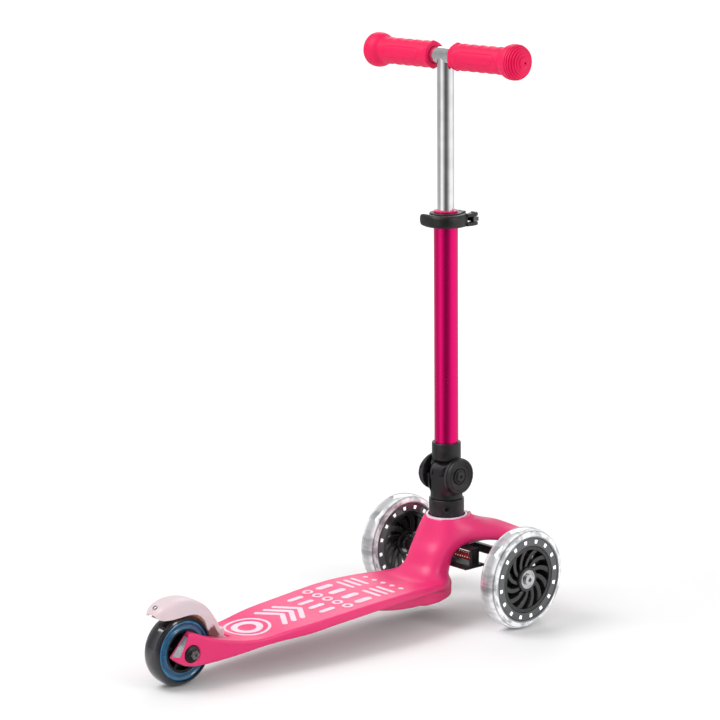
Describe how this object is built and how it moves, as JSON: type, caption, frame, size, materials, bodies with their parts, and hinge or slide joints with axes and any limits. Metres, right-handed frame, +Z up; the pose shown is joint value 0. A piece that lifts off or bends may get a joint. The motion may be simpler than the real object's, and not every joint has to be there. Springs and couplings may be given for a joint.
{
  "type": "three-wheel kick scooter",
  "caption": "Child's lean-to-steer kick scooter with folding stem, telescopic T-bar, clear light-up front wheels and a rear fender brake.",
  "frame": {"origin": "centre of the overall box at floor level, where the tyres touch", "axes": "+X forward, +Y to the rider's left, +Z up; the stem leans back slightly"},
  "size_m": [0.5312, 0.25, 0.6816],
  "materials": {
    "deck_pink": "satin moulded nylon",
    "print_white": "soft raised grip print",
    "ring_white": "satin",
    "steel": "zinc plated",
    "black_steel": "black oxide",
    "black_plastic": "fine grained",
    "spring_red": "powder coated",
    "reflector": "honeycomb reflective film",
    "anodised_pink": "bright anodised",
    "bush_pink": "smooth",
    "chrome": "polished",
    "grip_pink": "soft touch",
    "tyre_smoke": "glossy dark polyurethane",
    "rim_blue": "gloss",
    "aluminium": "turned",
    "fender_pale": "translucent satin",
    "tyre_clear": "clear polyurethane",
    "rim_smoke": "smoky translucent",
    "led_white": "lit diffuser"
  },
  "bodies": {
    "deck": {"deck_moulding": "deck_pink", "deck_grip_print": "print_white", "neck_ring": "ring_white", "tilt_pivot_bolt": "steel", "kingpins": "steel", "spring_bracket": "black_plastic", "centering_spring_left": "spring_red", "centering_spring_right": "spring_red", "rear_axle_bolt": "steel", "rear_axle_nut": "steel", "rear_axle_caps": "black_plastic", "rear_reflectors": "reflector", "brake_pivot_pin": "steel"},
    "stem_head": {"stem_socket": "black_plastic", "socket_screw": "black_steel", "fold_yoke": "black_plastic", "fold_pivot_pin": "steel", "fold_cap": "black_plastic", "button_spring": "steel"},
    "fold_button": {"fold_button": "black_plastic"},
    "lower_stem": {"fold_socket": "black_plastic", "lower_tube": "anodised_pink", "tube_cross_pin": "black_steel", "guide_bush": "bush_pink", "clamp_collar": "black_plastic", "clamp_bolt": "black_steel", "clamp_pin": "steel"},
    "clamp_lever": {"clamp_lever": "black_plastic"},
    "upper_stem": {"upper_tube": "chrome", "crossbar": "chrome", "grip_left": "grip_pink", "grip_right": "grip_pink", "tube_end_plug": "black_plastic"},
    "tie_rod": {"tie_rod": "black_plastic"},
    "knuckle_left": {"knuckle_left": "black_plastic", "front_axle_left": "steel"},
    "front_wheel_left": {"front_tyre_left": "tyre_clear", "front_rim_left": "rim_smoke", "front_hub_left": "black_plastic", "front_leds_left": "led_white", "front_bearings_left": "steel", "front_spacer_left": "aluminium"},
    "knuckle_right": {"knuckle_right": "black_plastic", "front_axle_right": "steel"},
    "front_wheel_right": {"front_tyre_right": "tyre_clear", "front_rim_right": "rim_smoke", "front_hub_right": "black_plastic", "front_leds_right": "led_white", "front_bearings_right": "steel", "front_spacer_right": "aluminium"},
    "rear_wheel": {"rear_tyre": "tyre_smoke", "rear_rim": "rim_blue", "rear_hub": "black_plastic", "rear_bearings": "steel", "rear_spacer": "aluminium"},
    "brake": {"brake_fender": "fender_pale", "brake_plate": "steel", "brake_screw": "steel", "brake_spring": "steel"}
  },
  "joints": [
    {"name": "lean", "type": "hinge", "parent": "deck", "child": "stem_head", "pos_m": [0.18185, 0, 0.112], "axis": [1, 0, 0], "range_deg": [-7, 7], "stiffness_Nm_per_rad": 30, "deforming": ["centering_spring_left", "centering_spring_right"]},
    {"name": "fold", "type": "hinge", "parent": "stem_head", "child": "lower_stem", "pos_m": [0.18002, 0, 0.16992], "axis": [0, -1, 0], "range_deg": [0, 88]},
    {"name": "fold_release", "type": "slide", "parent": "stem_head", "child": "fold_button", "axis": [0, 1, 0], "range_m": [0, 0.003], "stiffness_N_per_m": 900, "springref_m": -0.002, "deforming": ["button_spring"]},
    {"name": "clamp_open", "type": "hinge", "parent": "lower_stem", "child": "clamp_lever", "pos_m": [0.19438, -0.0216, 0.47452], "axis": [-0.0317, 0, 0.9995], "range_deg": [0, 120]},
    {"name": "bar_height", "type": "slide", "parent": "lower_stem", "child": "upper_stem", "axis": [-0.0317, 0, 0.9995], "range_m": [-0.145, 0.02]},
    {"name": "tie_rod_slide", "type": "slide", "parent": "deck", "child": "tie_rod", "axis": [0, 1, 0], "range_m": [-0.0044, 0.0044]},
    {"name": "steer_left", "type": "hinge", "parent": "deck", "child": "knuckle_left", "pos_m": [0.2326, 0.068, 0.06], "axis": [0, 0, 1], "range_deg": [-17.6, 17.6]},
    {"name": "roll_front_left", "type": "hinge", "parent": "knuckle_left", "child": "front_wheel_left", "pos_m": [0.2056, 0.1013, 0.06], "axis": [0, 1, 0], "continuous": true},
    {"name": "steer_right", "type": "hinge", "parent": "deck", "child": "knuckle_right", "pos_m": [0.2326, -0.068, 0.06], "axis": [0, 0, 1], "range_deg": [-17.6, 17.6]},
    {"name": "roll_front_right", "type": "hinge", "parent": "knuckle_right", "child": "front_wheel_right", "pos_m": [0.2056, -0.1013, 0.06], "axis": [0, 1, 0], "continuous": true},
    {"name": "roll_rear", "type": "hinge", "parent": "deck", "child": "rear_wheel", "pos_m": [-0.2256, 0, 0.04], "axis": [0, 1, 0], "continuous": true},
    {"name": "brake_press", "type": "hinge", "parent": "deck", "child": "brake", "pos_m": [-0.1696, 0, 0.04], "axis": [0, -1, 0], "range_deg": [0, 5.5], "stiffness_Nm_per_rad": 3, "springref_deg": -5.73, "deforming": ["brake_spring"]}
  ],
  "couplings": [
    {"joint": "tie_rod_slide", "follows": "lean", "m_per_rad": 0.035},
    {"joint": "steer_left", "follows": "lean", "ratio": -2.5},
    {"joint": "steer_right", "follows": "lean", "ratio": -2.5}
  ]
}
